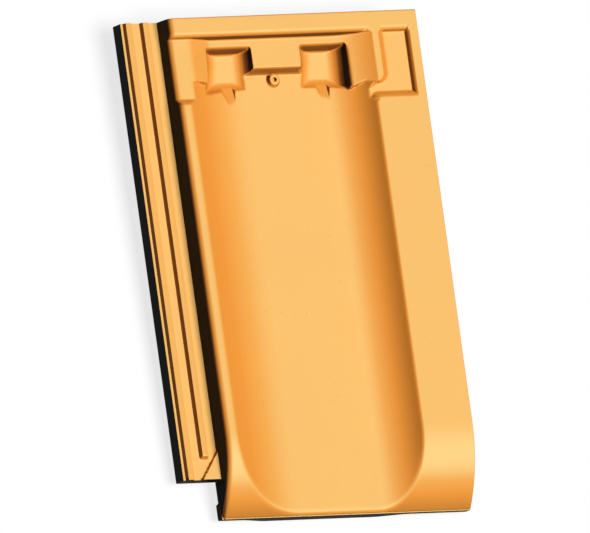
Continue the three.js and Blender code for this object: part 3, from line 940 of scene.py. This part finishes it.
lower_half = z.math("LESS_THAN", z, -slab_thickness / 2)
pressed_height = weather_side + lower_half * (lower_side - weather_side)
pressed_point = x.wire("ShaderNodeCombineXYZ", {}, {0: x, 1: y, 2: pressed_height})
slab_in = Wire(press, press_inputs.outputs["Geometry"])
pressed = x.wire("GeometryNodeSetPosition", {}, {"Geometry": slab_in, "Position": pressed_point})
realized = x.wire("GeometryNodeRealizeInstances", {}, {0: pressed})
coloured = x.wire("GeometryNodeSetMaterial", {}, {"Geometry": realized, "Material": fired_clay})
press_output = press.nodes.new("NodeGroupOutput")
press.links.new(coloured.socket, press_output.inputs["Geometry"])

clay_tile = bpy.data.objects.new("clay_tile", slab_mesh)
bpy.context.scene.collection.objects.link(clay_tile)
pressing = clay_tile.modifiers.new("pressing", "NODES")
pressing.node_group = press
bpy.context.view_layer.update()
evaluated = clay_tile.evaluated_get(bpy.context.evaluated_depsgraph_get())
pressed_mesh = bpy.data.meshes.new_from_object(evaluated)
clay_tile.modifiers.remove(pressing)
clay_tile.data = pressed_mesh


# ---------------------------------------------------------------- nibs
# Two blunt nibs under the head hook over the roofing batten. They taper a little, with rounded edges and
# a fillet where they leave the underside, and are pressed with the slab, so they are joined to it below.

nib_width = 0.044
nib_depth = 0.054
nib_head = 0.026
nib_foot = 0.060
nib_back_run = 0.011
nib_draft = 0.0012
nib_edge = 0.002
nib_corner = 0.005
nib_fillet = 0.003
nib_root = 0.0286
nib_base = trough_drop + floor_thickness
ARC_STEPS = 8
EDGE_STEPS = 6


def rounded_ring(x0, x1, y0, y1, radius):
    """Points round a rectangle with rounded corners, anticlockwise from above."""
    centres = [(x1 - radius, y0 + radius), (x1 - radius, y1 - radius)]
    centres += [(x0 + radius, y1 - radius), (x0 + radius, y0 + radius)]
    points = []
    for number, (cx, cy) in enumerate(centres):
        for step in range(ARC_STEPS + 1):
            angle = math.pi / 2 * (number - 1 + step / ARC_STEPS)
            points.append((cx + radius * math.cos(angle), cy + radius * math.sin(angle)))
    return points


def add_rings(mesh, rings):
    """Joins rings of (points, height) with quads, and closes the first and last one."""
    loops = [[mesh.verts.new((px, py, height)) for px, py in points] for points, height in rings]
    for low, high in zip(loops, loops[1:]):
        for i in range(len(low)):
            k = (i + 1) % len(low)
            mesh.faces.new((low[i], low[k], high[k], high[i]))
    mesh.faces.new(loops[0][::-1])
    mesh.faces.new(loops[-1])


def nib_ring(centre, depth, grow):
    """The nib's outline at a depth; it tapers towards its end and grows into a fillet at its root."""
    share = (depth - nib_base) / (nib_depth - nib_base)
    half = nib_width / 2 - nib_draft * share + grow
    foot = tile_length - nib_foot + nib_draft * share - grow
    head = tile_length - nib_head - nib_back_run * share + grow
    return rounded_ring(centre - half, centre + half, foot, head, nib_corner + grow), -depth


added = bmesh.new()
quarter_bend = [math.pi / 2 * step / EDGE_STEPS for step in range(EDGE_STEPS + 1)]
bends = [(math.sin(bend), 1 - math.cos(bend)) for bend in quarter_bend]
for centre in nib_centres:
    edge = [nib_ring(centre, nib_depth - nib_edge * up, nib_edge * (out - 1)) for out, up in bends]
    fillet = [nib_ring(centre, nib_base + nib_fillet * (1 - up), nib_fillet * out) for up, out in bends]
    add_rings(added, edge + fillet + [nib_ring(centre, nib_root, nib_fillet)])


# ---------------------------------------------------------------- nail boss
# A small round boss on the trough floor with a blind hole, where the tile is nailed in windy places. The
# boss keeps the trough's water off the nail. It and the nibs are then joined to the slab as one body.

boss_radius = 0.0064
boss_height = 0.0035
boss_from_head = 0.0568
boss_x = nib_centre - 0.0013
nail_hole_radius = 0.0018
BOSS_SIDES = 48

boss_profile = [
    (boss_radius + 0.0014, -0.0005),
    (boss_radius + 0.0009, 0.0001),
    (boss_radius + 0.0002, 0.0007),
    (boss_radius - 0.0004, 0.0017),
    (boss_radius - 0.0009, 0.0027),
    (boss_radius - 0.0014, 0.0032),
    (boss_radius - 0.0021, boss_height),
    (nail_hole_radius + 0.0010, boss_height),
    (nail_hole_radius + 0.0004, boss_height - 0.0002),
    (nail_hole_radius, boss_height - 0.0007),
    (nail_hole_radius * 0.9, 0.0004),
]


def boss_ring(radius, height):
    ring = []
    for side in range(BOSS_SIDES):
        angle = math.tau * side / BOSS_SIDES
        up_roof = tile_length - boss_from_head + radius * math.sin(angle)
        ring.append((boss_x + radius * math.cos(angle), up_roof))
    return ring, height - trough_drop


boss_rings = [boss_ring(radius, height) for radius, height in boss_profile]
add_rings(added, boss_rings)

added_mesh = bpy.data.meshes.new("nibs_and_boss")
added.to_mesh(added_mesh)
added.free()
nibs_and_boss = bpy.data.objects.new("nibs_and_boss", added_mesh)
bpy.context.scene.collection.objects.link(nibs_and_boss)
joining = clay_tile.modifiers.new("joining", "BOOLEAN")
joining.operation = "UNION"
joining.solver = "MANIFOLD"
joining.object = nibs_and_boss
bpy.context.view_layer.update()
evaluated = clay_tile.evaluated_get(bpy.context.evaluated_depsgraph_get())
tile_mesh = bpy.data.meshes.new_from_object(evaluated)
clay_tile.modifiers.remove(joining)
clay_tile.data = tile_mesh
tile_mesh.name = "clay_tile"
bpy.data.objects.remove(nibs_and_boss)


# ---------------------------------------------------------------- laying down
# Unheld, the tile lies on the foot edge of its foot rib and on its two nibs, which tilts it by its small
# seat angle. The middle of its box stands over the origin.

nib_seat = tile_length - nib_foot + nib_draft + nib_edge
weld_distance = 1e-6
sharp_angle = math.radians(48)
seat_angle = math.atan2(nib_depth - foot_rib_drop, nib_seat)

finished = bmesh.new()
finished.from_mesh(tile_mesh)
bmesh.ops.remove_doubles(finished, verts=finished.verts, dist=weld_distance)
bmesh.ops.triangulate(finished, faces=finished.faces, quad_method="SHORT_EDGE")
finished.to_mesh(tile_mesh)
finished.free()
seat_turn = Matrix.Rotation(seat_angle, 4, "X")
seat_axes = seat_turn.to_3x3()
tile_mesh.transform(seat_turn)
lows = [min(vertex.co[axis] for vertex in tile_mesh.vertices) for axis in range(3)]
highs = [max(vertex.co[axis] for vertex in tile_mesh.vertices) for axis in range(3)]
laid_at = Vector((-(lows[0] + highs[0]) / 2, -(lows[1] + highs[1]) / 2, -lows[2]))
tile_mesh.transform(Matrix.Translation(laid_at))
tile_mesh.shade_smooth()
tile_mesh.set_sharp_from_angle(angle=sharp_angle)

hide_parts("roof_tile")
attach(clay_tile, "root")


# ---------------------------------------------------------------- floor, lamp and camera
# A pale floor under a soft lamp that stands almost straight above the weather face, and a camera far away
# that looks at the tile from its foot and lap side.

floor_half = 6
floor_shade = 0.38
floor_seen_change = -0.15
floor_glow_strength = 0.77
lamp_strength = 3.0
lamp_width = math.radians(35)
lamp_from = Vector((0.13, -0.17, 1))
sky_seen_strength = 0.92
sky_light = 0.08

floor_mesh = bpy.data.meshes.new("floor")
floor_corners = [(-floor_half, -floor_half, 0), (floor_half, -floor_half, 0)]
floor_corners += [(floor_half, floor_half, 0), (-floor_half, floor_half, 0)]
floor_mesh.from_pydata(floor_corners, [], [(0, 1, 2, 3)])
studio_floor = bpy.data.objects.new("studio_floor", floor_mesh)
bpy.context.scene.collection.objects.link(studio_floor)
floor_material = bpy.data.materials.new("studio_floor")
floor_material.use_nodes = True
floor_tree = floor_material.node_tree
floor_shader = floor_tree.nodes["Principled BSDF"]
seen = Wire(floor_tree, floor_tree.nodes.new("ShaderNodeLightPath").outputs["Is Camera Ray"])
floor_grey = seen * floor_seen_change + floor_shade
floor_glow = seen * floor_glow_strength
floor_tree.links.new(floor_grey.socket, floor_shader.inputs["Base Color"])
floor_tree.links.new(floor_glow.socket, floor_shader.inputs["Emission Strength"])
floor_shader.inputs["Emission Color"].default_value = (1, 1, 1, 1)
floor_shader.inputs["Roughness"].default_value = 1
floor_shader.inputs["Specular IOR Level"].default_value = 0
floor_mesh.materials.append(floor_material)

lamp_data = bpy.data.lights.new("soft_lamp", "SUN")
lamp_data.energy = lamp_strength
lamp_data.angle = lamp_width
lamp = bpy.data.objects.new("soft_lamp", lamp_data)
lamp_direction = seat_axes @ lamp_from
lamp.rotation_euler = lamp_direction.to_track_quat("Z", "Y").to_euler()
bpy.context.scene.collection.objects.link(lamp)

world = bpy.data.worlds.new("studio")
world.use_nodes = True
world_tree = world.node_tree
sky = world_tree.nodes["Background"]
sky_seen = Wire(world_tree, world_tree.nodes.new("ShaderNodeLightPath").outputs["Is Camera Ray"])
sky_strength = sky_seen * sky_seen_strength + sky_light
world_tree.links.new(sky_strength.socket, sky.inputs["Strength"])
sky.inputs["Color"].default_value = (1, 1, 1, 1)
bpy.context.scene.world = world
bpy.context.scene.view_settings.view_transform = "Standard"

image_width = 590
image_height = 533
pixels_per_metre = 1094.5
head_corner_px = (415.345, 8.888)
camera_distance = 2
camera_reach = 20
picture_right = Vector((0.8458, -0.1360, 0.5157))
picture_up = Vector((0.0321, 0.9783, 0.2052))
view = picture_right.cross(picture_up).normalized()
picture_right = (picture_right - view * picture_right.dot(view)).normalized()
picture_up = view.cross(picture_right)
head_corner = seat_axes @ Vector((tile_width, tile_length, 0)) + laid_at
aside = (head_corner_px[0] - image_width / 2) / pixels_per_metre
above = (image_height / 2 - head_corner_px[1]) / pixels_per_metre
eye = head_corner - seat_axes @ (picture_right * aside + picture_up * above - view * camera_distance)

camera_data = bpy.data.cameras.new("camera")
camera_data.type = "ORTHO"
camera_data.ortho_scale = image_width / pixels_per_metre
camera_data.clip_end = camera_reach
camera = bpy.data.objects.new("camera", camera_data)
axes = Matrix((seat_axes @ picture_right, seat_axes @ picture_up, seat_axes @ view)).transposed()
camera.matrix_world = Matrix.Translation(eye) @ axes.to_4x4()
bpy.context.scene.collection.objects.link(camera)
bpy.context.scene.camera = camera
